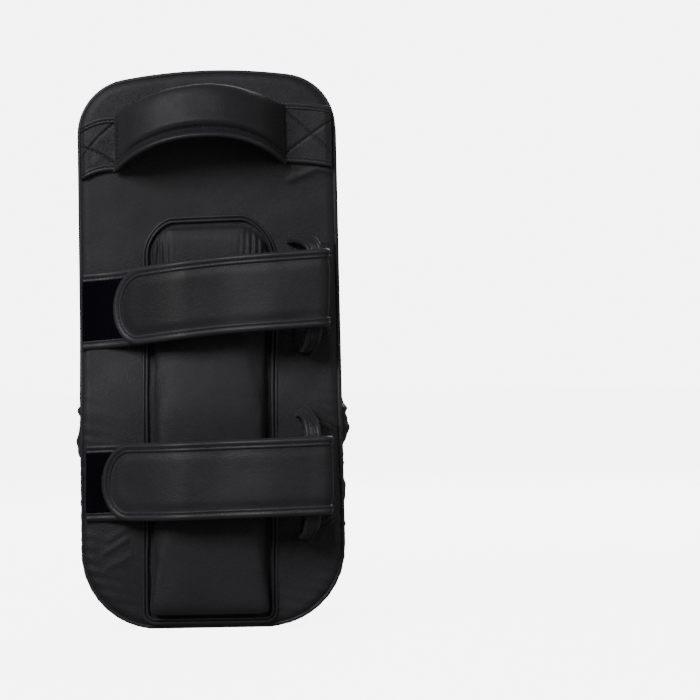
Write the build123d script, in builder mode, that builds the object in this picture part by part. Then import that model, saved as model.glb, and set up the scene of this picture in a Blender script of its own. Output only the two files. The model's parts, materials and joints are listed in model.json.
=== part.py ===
from build123d import *
from math import atan2, cos, hypot, radians, sin
import os

# A thai pad stands on its lower end. X is its width, Z its length, and the arm side with the
# straps and the hand grip faces -Y. The origin is under the middle of the whole pad.
# Depths are counted from the strike face towards the arm side, heights from the arm panel outward.

# Body
pad_height = 400.0
half_width_top = 91.4
half_width_bottom = 93.0
top_crown_radius = 378.0
bottom_crown_radius = 250.0
top_corner_radius = 38.0
bottom_corner_radius = 54.0
bottom_flat_cut = 2.0
bottom_flat_blend = 60.0
upper_thickness = 78.0
lower_bulge = 8.0
bulge_full_z = 150.0
bulge_end_z = 191.0
skin = 1.6
foam_inset = 4.5
strike_edge_radius = 10.0
strike_seam_depth = 14.0
piping_width = 3.0
piping_proud = 1.5
arm_piping_height = 2.4

# Foam layers, by depth
strike_foam_end = 24.0
core_foam_end = 52.0
lining_thickness = 1.0

# Forearm cushion
forearm_centre_x = -0.5
forearm_width = 88.0
forearm_bottom_z = 8.0
forearm_top_z = 295.0
forearm_height = 14.0
forearm_corner_radius = 22.0
forearm_bottom_radius = 7.0
forearm_piping_width = 3.0

# Straps: one shape, fitted twice
strap_height = 55.0
strap_thickness = 2.4
strap_binding_width = 3.5
strap_binding_extra = 0.5
strap_start_x = -87.0
strap_rise_x = -76.0
strap_plateau_x = -20.0
strap_clearance = 30.0
strap_bend_radius = 30.0
fold_centre_x = 76.5
fold_inner_radius = 4.0
fold_gap = 0.3
patch_thickness = 1.2
patch_inset = 6.0
hook_patch_length = 70.0
pile_end_x = 56.0
flap_join_x = -10.0
flap_drop_start_x = 12.0
flap_drop_end_x = 46.0
flap_tip_radius = 26.0

# Strap loops
loop_half_span = 46.0
loop_foot_z = 41.0
loop_shoulder_z = 32.5
loop_thickness = 4.0
loop_inner_height = 34.4
loop_lean = 7.5
loop_start_x = 60.0
loop_end_x = 77.5
loop_binding_width = 3.0
loop_foot_radius = 4.0
loop_shoulder_radius = 6.0
loop_patch_start_x = 54.5
loop_patch_half_height = 36.0
loop_patch_thickness = 2.0

# Hand grip
grip_centre_x = -6.0
grip_centre_z = 351.0
grip_tilt = 3.0
grip_half_span = 60.0
grip_rise_out = 30.0
grip_rise_up = 19.0
grip_tall = 36.0
grip_thick = 18.0
grip_skin = 1.5
grip_foot_height = 8.0
grip_arch_power = 2.4
webbing_tall = 24.0
webbing_thick = 2.0
tab_thickness = 3.0
tab_inner_half_height = 20.5
tab_outer_half_height = 22.5
tab_outer_drop = 7.0
tab_reach = 9.0

# Oversize lengths for sketches and cuts that are trimmed afterwards
side_reach = 150.0
outline_reach = 500.0
curve_margin = 1.0

fold_outer_radius = fold_inner_radius + strap_thickness
flap_lift = strap_thickness + 2 * patch_thickness + fold_gap
flap_height = strap_clearance + strap_thickness + 2 * fold_inner_radius
loop_lean_cosine = loop_inner_height / hypot(loop_inner_height, loop_lean)
strap_stand = flap_height + strap_thickness + strap_binding_extra
lower_thickness = upper_thickness + lower_bulge
strike_y = (lower_thickness + strap_stand) / 2

# z of the middle, tilt, x of the tip and thickness of the body at each strap
straps = {
    "upper": (238.0, 3.0, -66.0, upper_thickness),
    "lower": (108.0, 0.5, -76.0, lower_thickness),
}


def depth_plane(depth):
    """The XZ plane at a depth from the strike face; extruding from it goes towards the arm side."""
    return Plane.XZ.offset(depth - strike_y)


def pad_outline(plane, inset=0.0):
    """The pad's front outline, pulled in by inset, with the narrow flat that it stands on."""
    top_side_z = pad_height - half_width_top**2 / (2 * top_crown_radius)
    bottom_side_z = half_width_bottom**2 / (2 * bottom_crown_radius) - bottom_flat_cut
    top_right = (half_width_top, top_side_z)
    top_left = (-half_width_top, top_side_z)
    bottom_right = (half_width_bottom, bottom_side_z)
    bottom_left = (-half_width_bottom, bottom_side_z)
    with BuildSketch(plane) as outline:
        with BuildLine():
            Line(bottom_right, top_right)
            ThreePointArc(top_right, (0, pad_height), top_left)
            Line(top_left, bottom_left)
            ThreePointArc(bottom_left, (0, -bottom_flat_cut), bottom_right)
        make_face()
        fillet(outline.vertices().group_by(Axis.Y)[-1], top_corner_radius)
        fillet(outline.vertices().group_by(Axis.Y)[0], bottom_corner_radius)
        if inset != 0:
            offset(amount=-inset)
        with Locations((0, max(inset, 0))):
            Rectangle(outline_reach, outline_reach, align=(Align.CENTER, Align.MIN), mode=Mode.INTERSECT)
        fillet(outline.vertices().group_by(Axis.Y)[0], bottom_flat_blend)
    return outline.sketch


def arm_curve(height):
    """The arm side in profile at a height above the panel: a straight, an S bend and a straight."""
    upper_y = strike_y - upper_thickness - height
    lower_y = strike_y - lower_thickness - height
    middle_z = (bulge_full_z + bulge_end_z) / 2
    below = (lower_y, -curve_margin)
    bend_start = (lower_y, bulge_full_z)
    bend_end = (upper_y, bulge_end_z)
    above = (upper_y, pad_height + curve_margin)
    Line(below, bend_start)
    Bezier(bend_start, (lower_y, middle_z), (upper_y, middle_z), bend_end)
    Line(bend_end, above)
    return below, above


def arm_layer(low, high):
    """Keeps what lies between two heights above the arm panel."""
    with BuildSketch(Plane.YZ) as section:
        with BuildLine():
            low_below, low_above = arm_curve(low)
            high_below, high_above = arm_curve(high)
            Line(low_below, high_below)
            Line(low_above, high_above)
        make_face()
    extrude(section.sketch, amount=side_reach, both=True, mode=Mode.INTERSECT)


def foam_layer(start_depth, end_depth):
    """A full foam sheet between two depths, a little smaller than the covers."""
    extrude(pad_outline(depth_plane(start_depth), foam_inset), amount=end_depth - start_depth)


def save(piece, label):
    piece.part.label = label
    export_step(piece.part, f"parts/{label}.step")


def make_strike_cover():
    with BuildPart() as cover:
        extrude(pad_outline(depth_plane(0)), amount=strike_seam_depth)
        fillet(cover.faces().sort_by(Axis.Y)[-1].edges(), strike_edge_radius)
        offset(amount=-skin, openings=cover.faces().sort_by(Axis.Y)[0])
    save(cover, "strike_cover")


def make_strike_piping():
    with BuildPart() as piping:
        extrude(pad_outline(depth_plane(strike_seam_depth), -piping_proud), amount=piping_width)
        extrude(pad_outline(depth_plane(strike_seam_depth), skin), amount=piping_width, mode=Mode.SUBTRACT)
    save(piping, "strike_piping")


def make_side_gusset():
    start = strike_seam_depth + piping_width
    with BuildPart() as gusset:
        extrude(pad_outline(depth_plane(start)), amount=lower_thickness)
        extrude(pad_outline(depth_plane(start), skin), amount=lower_thickness, mode=Mode.SUBTRACT)
        arm_layer(start - lower_thickness, -skin)
    save(gusset, "side_gusset")


def make_arm_panel():
    with BuildPart() as panel:
        extrude(pad_outline(depth_plane(core_foam_end)), amount=lower_thickness)
        arm_layer(-skin, 0)
    save(panel, "arm_panel")


def make_arm_piping():
    with BuildPart() as piping:
        extrude(pad_outline(depth_plane(core_foam_end)), amount=lower_thickness)
        extrude(pad_outline(depth_plane(core_foam_end), piping_width), amount=lower_thickness, mode=Mode.SUBTRACT)
        arm_layer(0, arm_piping_height)
    save(piping, "arm_piping")


def make_foams():
    with BuildPart() as strike_foam:
        extrude(pad_outline(depth_plane(skin), foam_inset), amount=strike_foam_end - skin)
        inner_radius = strike_edge_radius - skin
        fillet(strike_foam.faces().sort_by(Axis.Y)[-1].edges(), inner_radius)
    save(strike_foam, "strike_foam")

    with BuildPart() as core_foam:
        foam_layer(strike_foam_end, core_foam_end)
    save(core_foam, "core_foam")

    with BuildPart() as back_foam:
        foam_layer(core_foam_end, upper_thickness - skin - lining_thickness)
    save(back_foam, "back_foam")

    lining_back = -skin - lining_thickness
    with BuildPart() as wedge:
        foam_layer(upper_thickness - skin - lining_thickness, lower_thickness)
        arm_layer(-upper_thickness, lining_back)
    save(wedge, "lower_wedge_foam")

    with BuildPart() as lining:
        extrude(pad_outline(depth_plane(core_foam_end), foam_inset), amount=lower_thickness)
        arm_layer(lining_back, -skin)
    save(lining, "panel_lining")


def forearm_outline(inset=0.0):
    """The forearm cushion's outline, with round top corners and smaller bottom ones."""
    middle_z = (forearm_top_z + forearm_bottom_z) / 2
    with BuildSketch(depth_plane(core_foam_end)) as outline:
        with Locations((forearm_centre_x, middle_z)):
            Rectangle(forearm_width, forearm_top_z - forearm_bottom_z)
        fillet(outline.vertices().group_by(Axis.Y)[-1], forearm_corner_radius)
        fillet(outline.vertices().group_by(Axis.Y)[0], forearm_bottom_radius)
        if inset != 0:
            offset(amount=-inset)
    return outline.sketch


def make_forearm_cushion():
    with BuildPart() as foam:
        extrude(forearm_outline(skin), amount=2 * lower_thickness)
        arm_layer(0, forearm_height - skin)
    save(foam, "forearm_foam")

    with BuildPart() as cover:
        extrude(forearm_outline(), amount=2 * lower_thickness)
        arm_layer(0, forearm_height)
        add(foam.part, mode=Mode.SUBTRACT)
    save(cover, "forearm_cover")

    with BuildPart() as piping:
        extrude(forearm_outline(-forearm_piping_width), amount=2 * lower_thickness)
        extrude(forearm_outline(), amount=2 * lower_thickness, mode=Mode.SUBTRACT)
        arm_layer(0, forearm_piping_width)
    save(piping, "forearm_piping")


def strap_plane(centre_z, tilt, thickness):
    """A plane across the strap: X along it, Y outward from the arm panel."""
    angle = radians(tilt)
    return Plane(
        origin=(0, strike_y - thickness, centre_z),
        x_dir=(cos(angle), 0, sin(angle)),
        z_dir=(sin(angle), 0, -cos(angle)),
    )


def face_plane(centre_z, tilt, thickness):
    """The arm panel's plane at a strap: X along the strap, Y along its height."""
    angle = radians(tilt)
    return Plane(
        origin=(0, strike_y - thickness, centre_z),
        x_dir=(cos(angle), 0, sin(angle)),
        z_dir=(0, -1, 0),
    )


def strap_path():
    """The inner face of the under strap, from its seam over the forearm cushion to the fold."""
    return [
        (strap_start_x, 0),
        (strap_rise_x, 0),
        (strap_plateau_x, strap_clearance),
        (fold_centre_x, strap_clearance),
    ]


def fly_path():
    """The inner face of the flap between where it leaves the under strap and the fold."""
    return [
        (flap_join_x, strap_clearance + flap_lift),
        (flap_drop_start_x, strap_clearance + flap_lift),
        (flap_drop_end_x, flap_height),
        (fold_centre_x - fold_gap, flap_height),
    ]


def band(plane, path, low, high, start_x, end_x):
    """A section of leather between two heights above a path, cut square at both ends."""
    with BuildSketch(plane) as section:
        with BuildLine():
            FilletPolyline(*path, radius=strap_bend_radius)
            offset(amount=high, side=Side.LEFT)
        make_face()
        if low > 0:
            with BuildLine():
                FilletPolyline(*path, radius=strap_bend_radius)
                offset(amount=low, side=Side.LEFT)
            make_face(mode=Mode.SUBTRACT)
        with Locations(((start_x + end_x) / 2, 0)):
            Rectangle(end_x - start_x, side_reach, mode=Mode.INTERSECT)
    return section.sketch


def flap_band(plane, low, high):
    """A section of the flap and beyond its tip: it lies on the under strap, then stands off it."""
    end_x = fold_centre_x - fold_gap
    with BuildSketch() as section:
        add(band(Plane.XY, strap_path(), flap_lift + low, flap_lift + high, strap_start_x, flap_join_x))
        add(band(Plane.XY, fly_path(), low, high, flap_join_x, end_x))
    return plane * section.sketch


def flap_outline(plane, tip_x, inset=0.0):
    """The flap's front outline, with a rounded tip and an end cut square at the fold."""
    end_x = fold_centre_x - fold_gap
    with BuildSketch(plane) as outline:
        with Locations((tip_x + inset, 0)):
            Rectangle(
                end_x - tip_x - inset,
                strap_height - 2 * inset,
                align=(Align.MIN, Align.CENTER),
            )
        fillet(outline.vertices().group_by(Axis.X)[0], flap_tip_radius - inset)
    return outline.sketch


def make_under_strap(side, centre_z, tilt, thickness):
    across = strap_plane(centre_z, tilt, thickness)
    face = face_plane(centre_z, tilt, thickness)
    core_height = strap_height - 2 * strap_binding_width
    with BuildPart() as strap:
        section = band(across, strap_path(), 0, strap_thickness, strap_start_x, fold_centre_x)
        extrude(section, amount=core_height / 2, both=True)
    save(strap, f"{side}_under_strap")

    with BuildPart() as pile:
        pile_top = strap_thickness + patch_thickness
        section = band(across, strap_path(), strap_thickness, pile_top, strap_start_x, pile_end_x)
        extrude(section, amount=core_height / 2 - patch_inset, both=True)
    save(pile, f"{side}_pile_patch")

    with BuildPart() as binding:
        bound = strap_thickness + strap_binding_extra
        section = band(across, strap_path(), 0, bound, strap_start_x, fold_centre_x)
        extrude(section, amount=strap_height / 2, both=True)
        with BuildSketch(face) as middle:
            Rectangle(outline_reach, core_height)
        extrude(middle.sketch, amount=side_reach, both=True, mode=Mode.SUBTRACT)
    save(binding, f"{side}_under_strap_binding")


def make_fold(side, centre_z, tilt, thickness):
    centre_height = strap_clearance + strap_thickness + fold_inner_radius
    with BuildPart() as fold:
        with BuildSketch(strap_plane(centre_z, tilt, thickness)) as section:
            with Locations((fold_centre_x, centre_height)):
                Circle(fold_outer_radius)
                Circle(fold_inner_radius, mode=Mode.SUBTRACT)
                Rectangle(
                    2 * fold_outer_radius,
                    4 * fold_outer_radius,
                    align=(Align.MIN, Align.CENTER),
                    mode=Mode.INTERSECT,
                )
        extrude(section.sketch, amount=strap_height / 2, both=True)
    save(fold, f"{side}_strap_fold")


def make_flap(side, centre_z, tilt, tip_x, thickness):
    across = strap_plane(centre_z, tilt, thickness)
    face = face_plane(centre_z, tilt, thickness)
    with BuildPart() as flap:
        extrude(flap_band(across, 0, strap_thickness), amount=strap_height, both=True)
        outline = flap_outline(face, tip_x, strap_binding_width)
        extrude(outline, amount=side_reach, both=True, mode=Mode.INTERSECT)
    save(flap, f"{side}_flap")

    with BuildPart() as binding:
        bound = strap_thickness + strap_binding_extra
        extrude(flap_band(across, 0, bound), amount=strap_height, both=True)
        extrude(flap_outline(face, tip_x), amount=side_reach, both=True, mode=Mode.INTERSECT)
        extrude(outline, amount=side_reach, both=True, mode=Mode.SUBTRACT)
    save(binding, f"{side}_flap_binding")

    with BuildPart() as hook:
        hook_low = flap_lift - patch_thickness
        hook_end_x = tip_x + hook_patch_length
        section = band(across, strap_path(), hook_low, flap_lift, strap_start_x, hook_end_x)
        extrude(section, amount=strap_height, both=True)
        hook_outline = flap_outline(face, tip_x, strap_binding_width + patch_inset)
        extrude(hook_outline, amount=side_reach, both=True, mode=Mode.INTERSECT)
    save(hook, f"{side}_hook_patch")


def loop_section(plane, high):
    """The loop in profile: two feet on the panel, two legs and a flat bridge over the strap."""
    slant_height = loop_inner_height / loop_lean_cosine
    path = [
        (-loop_half_span, 0),
        (-loop_foot_z, 0),
        (-loop_shoulder_z, slant_height),
        (loop_shoulder_z, slant_height),
        (loop_foot_z, 0),
        (loop_half_span, 0),
    ]
    radii = [loop_foot_radius, loop_shoulder_radius, loop_shoulder_radius, loop_foot_radius]
    with BuildSketch(plane) as section:
        with BuildLine():
            FilletPolyline(*path, radius=radii)
            offset(amount=high, side=Side.LEFT)
        make_face()
    return section.sketch


def loop_plane(centre_z, tilt, thickness, bridge_x):
    """A plane across the loop, leaning so that its feet are further from the fold than its bridge."""
    angle = radians(tilt)
    foot_x = bridge_x - loop_lean
    lean = atan2(loop_lean, loop_inner_height)
    return Plane(
        origin=(foot_x * cos(angle), strike_y - thickness, centre_z + foot_x * sin(angle)),
        x_dir=(-sin(angle), 0, cos(angle)),
        z_dir=(cos(angle) * cos(lean), sin(lean), sin(angle) * cos(lean)),
    )


def make_loop(side, centre_z, tilt, thickness):
    along_strap = (cos(radians(tilt)), 0, sin(radians(tilt)))
    leather_start = loop_start_x + loop_binding_width
    leather_end = loop_end_x - loop_binding_width
    with BuildPart() as loop:
        section = loop_section(loop_plane(centre_z, tilt, thickness, leather_start), loop_thickness)
        extrude(section, amount=leather_end - leather_start, dir=along_strap)
    save(loop, f"{side}_loop")

    with BuildPart() as binding:
        for start in (loop_start_x, leather_end):
            plane = loop_plane(centre_z, tilt, thickness, start)
            section = loop_section(plane, loop_thickness + strap_binding_extra)
            extrude(section, amount=loop_binding_width, dir=along_strap)
    save(binding, f"{side}_loop_binding")

    with BuildPart() as patch:
        with BuildSketch(face_plane(centre_z, tilt, thickness)) as outline:
            with Locations((loop_patch_start_x, 0)):
                Rectangle(
                    side_reach,
                    2 * loop_patch_half_height,
                    align=(Align.MIN, Align.CENTER),
                )
        extrude(outline.sketch, amount=loop_patch_thickness)
        inside = pad_outline(depth_plane(0), piping_width)
        extrude(inside, amount=2 * lower_thickness, mode=Mode.INTERSECT)
    save(patch, f"{side}_loop_patch")


def grip_sections(half_tall, half_thick, end_share):
    """Ellipses across the grip, from its left foot up over the fingers to its right foot."""
    steps = 8
    for step in range(steps + 1):
        along = 2 * step / steps - 1
        rise = 1 - abs(along) ** grip_arch_power
        x = grip_centre_x + along * grip_half_span
        y = strike_y - upper_thickness - grip_foot_height - rise * grip_rise_out
        z = grip_centre_z + along * grip_half_span * sin(radians(grip_tilt)) + rise * grip_rise_up
        share = end_share + (1 - end_share) * rise
        with BuildSketch(Plane(origin=(x, y, z), x_dir=(0, 0, 1), z_dir=(1, 0, 0))) as section:
            Ellipse(half_tall, half_thick * share)
        yield section.sketch


def make_grip():
    foam_thick = grip_thick / 2 - grip_skin
    foam_end_share = (grip_foot_height - tab_thickness - grip_skin) / foam_thick
    with BuildPart() as webbing:
        loft(list(grip_sections(webbing_tall / 2, webbing_thick / 2, 1)))
    save(webbing, "grip_webbing")

    with BuildPart() as foam:
        loft(list(grip_sections(grip_tall / 2 - grip_skin, foam_thick, foam_end_share)))
        add(webbing.part, mode=Mode.SUBTRACT)
    save(foam, "grip_foam")

    cover_end_share = (grip_foot_height - tab_thickness) / (grip_thick / 2)
    with BuildPart() as cover:
        loft(list(grip_sections(grip_tall / 2, grip_thick / 2, cover_end_share)))
        add(foam.part, mode=Mode.SUBTRACT)
        add(webbing.part, mode=Mode.SUBTRACT)
    save(cover, "grip_cover")


def make_handle_tab(label, inner_x, outer_x):
    angle = radians(grip_tilt)
    inner_z = grip_centre_z + (inner_x - grip_centre_x) * sin(angle)
    outer_z = grip_centre_z + (outer_x - grip_centre_x) * sin(angle) - tab_outer_drop
    corners = [
        (inner_x, inner_z - tab_inner_half_height),
        (inner_x, inner_z + tab_inner_half_height),
        (outer_x, outer_z + tab_outer_half_height),
        (outer_x, outer_z - tab_outer_half_height),
    ]
    with BuildPart() as tab:
        with BuildSketch(depth_plane(upper_thickness)) as outline:
            with BuildLine():
                Polyline(*corners, close=True)
            make_face()
        extrude(outline.sketch, amount=tab_thickness)
        inside = pad_outline(depth_plane(upper_thickness), piping_width)
        extrude(inside, amount=tab_thickness, mode=Mode.INTERSECT)
    save(tab, label)


os.makedirs("parts", exist_ok=True)
make_strike_cover()
make_strike_piping()
make_side_gusset()
make_arm_panel()
make_arm_piping()
make_foams()
make_forearm_cushion()
make_grip()
tab_inner_reach = grip_half_span - tab_reach
make_handle_tab("left_handle_tab", grip_centre_x - tab_inner_reach, -half_width_top)
make_handle_tab("right_handle_tab", grip_centre_x + tab_inner_reach, half_width_top)
for side, (centre_z, tilt, tip_x, thickness) in straps.items():
    make_under_strap(side, centre_z, tilt, thickness)
    make_fold(side, centre_z, tilt, thickness)
    make_flap(side, centre_z, tilt, tip_x, thickness)
    make_loop(side, centre_z, tilt, thickness)
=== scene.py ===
import json
import math

import bmesh
import bpy
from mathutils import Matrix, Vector, kdtree, noise


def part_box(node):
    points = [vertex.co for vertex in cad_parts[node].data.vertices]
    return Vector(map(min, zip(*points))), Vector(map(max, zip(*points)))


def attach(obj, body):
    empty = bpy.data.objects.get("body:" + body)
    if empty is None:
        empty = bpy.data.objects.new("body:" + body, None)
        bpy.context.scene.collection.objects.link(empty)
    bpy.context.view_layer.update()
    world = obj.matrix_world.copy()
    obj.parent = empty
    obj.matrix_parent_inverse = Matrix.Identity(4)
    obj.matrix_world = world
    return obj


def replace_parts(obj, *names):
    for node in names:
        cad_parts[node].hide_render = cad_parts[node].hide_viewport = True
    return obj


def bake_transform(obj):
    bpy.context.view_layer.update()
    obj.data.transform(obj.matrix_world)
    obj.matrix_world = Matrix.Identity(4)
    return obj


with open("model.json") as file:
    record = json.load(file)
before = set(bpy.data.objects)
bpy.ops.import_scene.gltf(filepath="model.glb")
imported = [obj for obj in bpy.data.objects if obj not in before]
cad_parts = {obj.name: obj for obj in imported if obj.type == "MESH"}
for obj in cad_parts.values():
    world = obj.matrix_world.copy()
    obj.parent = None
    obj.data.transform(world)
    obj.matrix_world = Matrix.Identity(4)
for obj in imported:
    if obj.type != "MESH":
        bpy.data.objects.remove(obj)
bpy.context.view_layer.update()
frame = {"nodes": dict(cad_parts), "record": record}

# A thai pad that stands on its lower end, in metres. X is its width, Z its length, and the arm
# side with the grip and the straps faces -Y. Heights are counted outward from the arm panel.

# ---- places taken from the frame
STRIKE_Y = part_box("strike_cover")[1].y
UPPER_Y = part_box("left_handle_tab")[1].y
LOWER_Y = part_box("lower_loop_patch")[1].y
SEAM_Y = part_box("strike_piping")[1].y
PAD_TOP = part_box("side_gusset")[1].z
OUT = Vector((0, -1, 0))

# ---- shape of the body
TOP_HALF = 0.0914
BOTTOM_HALF = 0.0930
TOP_CROWN = 0.378
BOTTOM_CROWN = 0.250
TOP_CORNER = 0.038
BOTTOM_CORNER = 0.054
CROWN_SINK = 0.002
BEND_START = 0.150
BEND_END = 0.222
TOP_SKEW = 0.018
LOW_SKEW = 0.010
SPINE_LOW = 0.085
SPINE_HIGH = PAD_TOP - 0.075


def smooth(x):
    """Smoothstep, clamped to 0..1."""
    x = min(max(x, 0.0), 1.0)
    return x * x * (3 - 2 * x)


def bell(x, middle, half):
    """A bump of height 1 at the middle that fades over half to either side."""
    return math.exp(-(((x - middle) / half) ** 2))


def mix(a, b, share):
    """The value at a share of the way from a to b."""
    return a + (b - a) * share


def hum(x, y, seed):
    """Soft noise in -1..1, the same on every run."""
    return noise.noise(Vector((x, y, seed)))


def ripple(x, z, scale, seed):
    return hum(x / scale, z / scale, seed)


def arm_y(z):
    """Y of the arm panel at a height up the pad: the lower half is thicker."""
    return mix(LOWER_Y, UPPER_Y, smooth((z - BEND_START) / (BEND_END - BEND_START)))


def resample(points, count):
    """Spreads count points evenly along a closed chain of 2-D points."""
    lengths = [0.0]
    ring = points + [points[0]]
    for a, b in zip(ring, ring[1:]):
        lengths.append(lengths[-1] + (b - a).length)
    out = []
    index = 0
    for step in range(count):
        target = lengths[-1] * step / count
        while lengths[index + 1] < target:
            index += 1
        span = lengths[index + 1] - lengths[index]
        out.append(ring[index].lerp(ring[index + 1], (target - lengths[index]) / span))
    return out


def skew(x, z):
    """How much the soft ends of the pad lean: their left corners sit lower than their right ones."""
    return x * (TOP_SKEW * smooth((z - 0.30) / 0.08) + LOW_SKEW * smooth((0.09 - z) / 0.08))


def pad_outline(count):
    """Points of the pad's front outline as (x, z), going round from the middle of the right side."""
    top_x = TOP_HALF - TOP_CORNER
    top_crown_z = PAD_TOP - TOP_CROWN
    top_z = top_crown_z + math.sqrt((TOP_CROWN - TOP_CORNER) ** 2 - top_x**2)
    low_x = BOTTOM_HALF - BOTTOM_CORNER
    low_crown_z = BOTTOM_CROWN - CROWN_SINK
    low_z = low_crown_z - math.sqrt((BOTTOM_CROWN - BOTTOM_CORNER) ** 2 - low_x**2)
    top_angle = math.atan2(top_z - top_crown_z, top_x)
    low_angle = math.atan2(low_z - low_crown_z, low_x)
    arcs = [
        (top_x, top_z, TOP_CORNER, 0, top_angle),
        (0, top_crown_z, TOP_CROWN, top_angle, math.pi - top_angle),
        (-top_x, top_z, TOP_CORNER, math.pi - top_angle, math.pi),
        (-low_x, low_z, BOTTOM_CORNER, math.pi, math.pi - low_angle),
        (0, low_crown_z, BOTTOM_CROWN, -math.pi - low_angle, low_angle),
        (low_x, low_z, BOTTOM_CORNER, low_angle, 0),
    ]
    steps = 60
    chain = []
    for centre_x, centre_z, radius, start, end in arcs:
        for step in range(steps + 1):
            angle = mix(start, end, step / steps)
            point = Vector((centre_x + radius * math.cos(angle), centre_z + radius * math.sin(angle)))
            point.y = max(point.y + skew(*point), 0.0)
            chain.append(point)
    return resample(chain, count)


def outline_normals(points):
    """Outward normals of a closed chain that goes round anticlockwise."""
    count = len(points)
    normals = []
    for index in range(count):
        along = points[(index + 1) % count] - points[index - 1]
        normals.append(Vector((along.y, -along.x)).normalized())
    return normals


def shrinking_rings(outline, rings, low, high, x=0.0, first=1):
    """Rings from an outline down to an upright line inside it, as (share of the way left, place)."""
    for ring in range(first, rings + 1):
        share = 1 - ring / rings
        for point in outline:
            spine = Vector((x, min(max(point.y, low), high)))
            yield share, spine.lerp(point, share)


# ---- mesh helpers
def add_object(name, verts, faces, material, body="root"):
    """Makes a smooth mesh object that rides on a body, or on no body when none is given."""
    mesh = bpy.data.meshes.new(name)
    mesh.from_pydata([tuple(v) for v in verts], [], faces)
    mesh.validate()
    for polygon in mesh.polygons:
        polygon.use_smooth = True
    piece = bpy.data.objects.new(name, mesh)
    bpy.context.collection.objects.link(piece)
    piece.data.materials.append(material)
    if body:
        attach(piece, body)
    return piece


def grid_faces(rows, columns, closed=False, start=0, flip=False):
    """Quads between rows of points, closed round the columns if asked."""
    faces = []
    last = columns if closed else columns - 1
    for r in range(rows - 1):
        for c in range(last):
            a = start + r * columns + c
            b = start + r * columns + (c + 1) % columns
            quad = (a, b, b + columns, a + columns)
            faces.append(quad[::-1] if flip else quad)
    return faces


def end_caps(rows, sides, start=0, flip=False):
    """The two faces that close the ends of a row of rings."""
    last = start + (rows - 1) * sides
    near = tuple(range(start, start + sides))
    far = tuple(range(last, last + sides))
    return [near, far[::-1]] if flip else [near[::-1], far]


def apply_modifiers(piece):
    """Replaces the piece's mesh with what its modifiers make of it."""
    bpy.context.view_layer.update()
    graph = bpy.context.evaluated_depsgraph_get()
    mesh = bpy.data.meshes.new_from_object(piece.evaluated_get(graph))
    piece.modifiers.clear()
    piece.data = mesh
    for polygon in mesh.polygons:
        polygon.use_smooth = True


def weld(piece):
    """Joins points that lie on each other and turns every face outward."""
    mesh = bmesh.new()
    mesh.from_mesh(piece.data)
    bmesh.ops.remove_doubles(mesh, verts=mesh.verts, dist=0.00005)
    bmesh.ops.recalc_face_normals(mesh, faces=mesh.faces)
    mesh.to_mesh(piece.data)
    mesh.free()


def thicken(piece, thickness, offset=-1):
    """Gives a sheet its leather thickness, inward, with the modifier applied."""
    modifier = piece.modifiers.new("thickness", "SOLIDIFY")
    modifier.thickness = thickness
    modifier.offset = offset
    apply_modifiers(piece)


def refine(piece, levels=1):
    """Adds subdivision and applies it."""
    modifier = piece.modifiers.new("subdivision", "SUBSURF")
    modifier.levels = levels
    modifier.render_levels = levels
    apply_modifiers(piece)


def add_sheet(name, rows, columns, place, material, closed=False, flip=False):
    """A sheet of the points place(row share, column share), with both shares from 0 to 1."""
    per_row = columns if closed else columns + 1
    verts = [place(r / rows, c / columns) for r in range(rows + 1) for c in range(per_row)]
    faces = grid_faces(rows + 1, per_row, closed=closed, flip=flip)
    return add_object(name, verts, faces, material)


def add_tube(name, points, radius, closed=True, flat=1.0):
    """A round leather cord along a path; flat squeezes it along the outward vector."""
    sides = 10
    rows = len(points)
    verts = []
    for i, point in enumerate(points):
        before = points[i - 1] if closed or i > 0 else point
        after = points[(i + 1) % rows] if closed or i < rows - 1 else point
        along = (after - before).normalized()
        side = along.cross(OUT).normalized()
        out = side.cross(along).normalized()
        for k in range(sides):
            angle = 2 * math.pi * k / sides
            across = side * (radius * math.cos(angle))
            verts.append(point + across + out * (radius * flat * math.sin(angle)))
    faces = grid_faces(rows, sides, closed=True)
    if closed:
        last = (rows - 1) * sides
        faces += [(last + k, last + (k + 1) % sides, (k + 1) % sides, k) for k in range(sides)]
    else:
        faces += end_caps(rows, sides)
    return add_object(name, verts, faces, EDGE_LEATHER)


# A binding folded over a leather edge, in section: (distance in from the edge, height above the leather)
BINDING = [
    (0.0064, -0.0002),
    (0.0062, 0.0006),
    (0.0055, 0.0010),
    (0.0046, 0.0009),
    (0.0040, 0.0002),
    (0.0034, 0.0008),
    (0.0022, 0.0013),
    (0.0010, 0.0011),
    (0.0000, 0.0003),
    (-0.0004, -0.0009),
    (0.0000, -0.0021),
    (0.0010, -0.0027),
    (0.0060, -0.0027),
]
BINDING_STITCH = 0.0040
STITCH_PITCH = 0.0032
STITCH_LENGTH = 0.0024
STITCH_RADIUS = 0.00034

# A stitch in section: (place along it as a share, thickness as a share, height in thread radii)
STITCH = [(-0.5, 0.25, -0.9), (-0.36, 0.85, 0.1), (0.0, 1.0, 0.45), (0.36, 0.85, 0.1), (0.5, 0.25, -0.9)]


def add_binding(name, path, scale=1.0, body="root"):
    """A folded binding along a path of (edge point, outward normal, direction in from the edge)."""
    verts = []
    for point, normal, inward in path:
        for inset, lift in BINDING:
            verts.append(point + inward * (inset * scale) + normal * (lift * (scale if lift > 0 else 1)))
    sides = len(BINDING)
    faces = grid_faces(len(path), sides, closed=True) + end_caps(len(path), sides)
    piece = add_object(name, verts, faces, EDGE_LEATHER, body)
    weld(piece)
    return piece


def binding_stitches(path, scale=1.0):
    """The stitch row of a binding, as (point, outward normal)."""
    reach = BINDING_STITCH * scale
    return [(point + inward * reach + normal * 0.0004, normal) for point, normal, inward in path]


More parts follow.
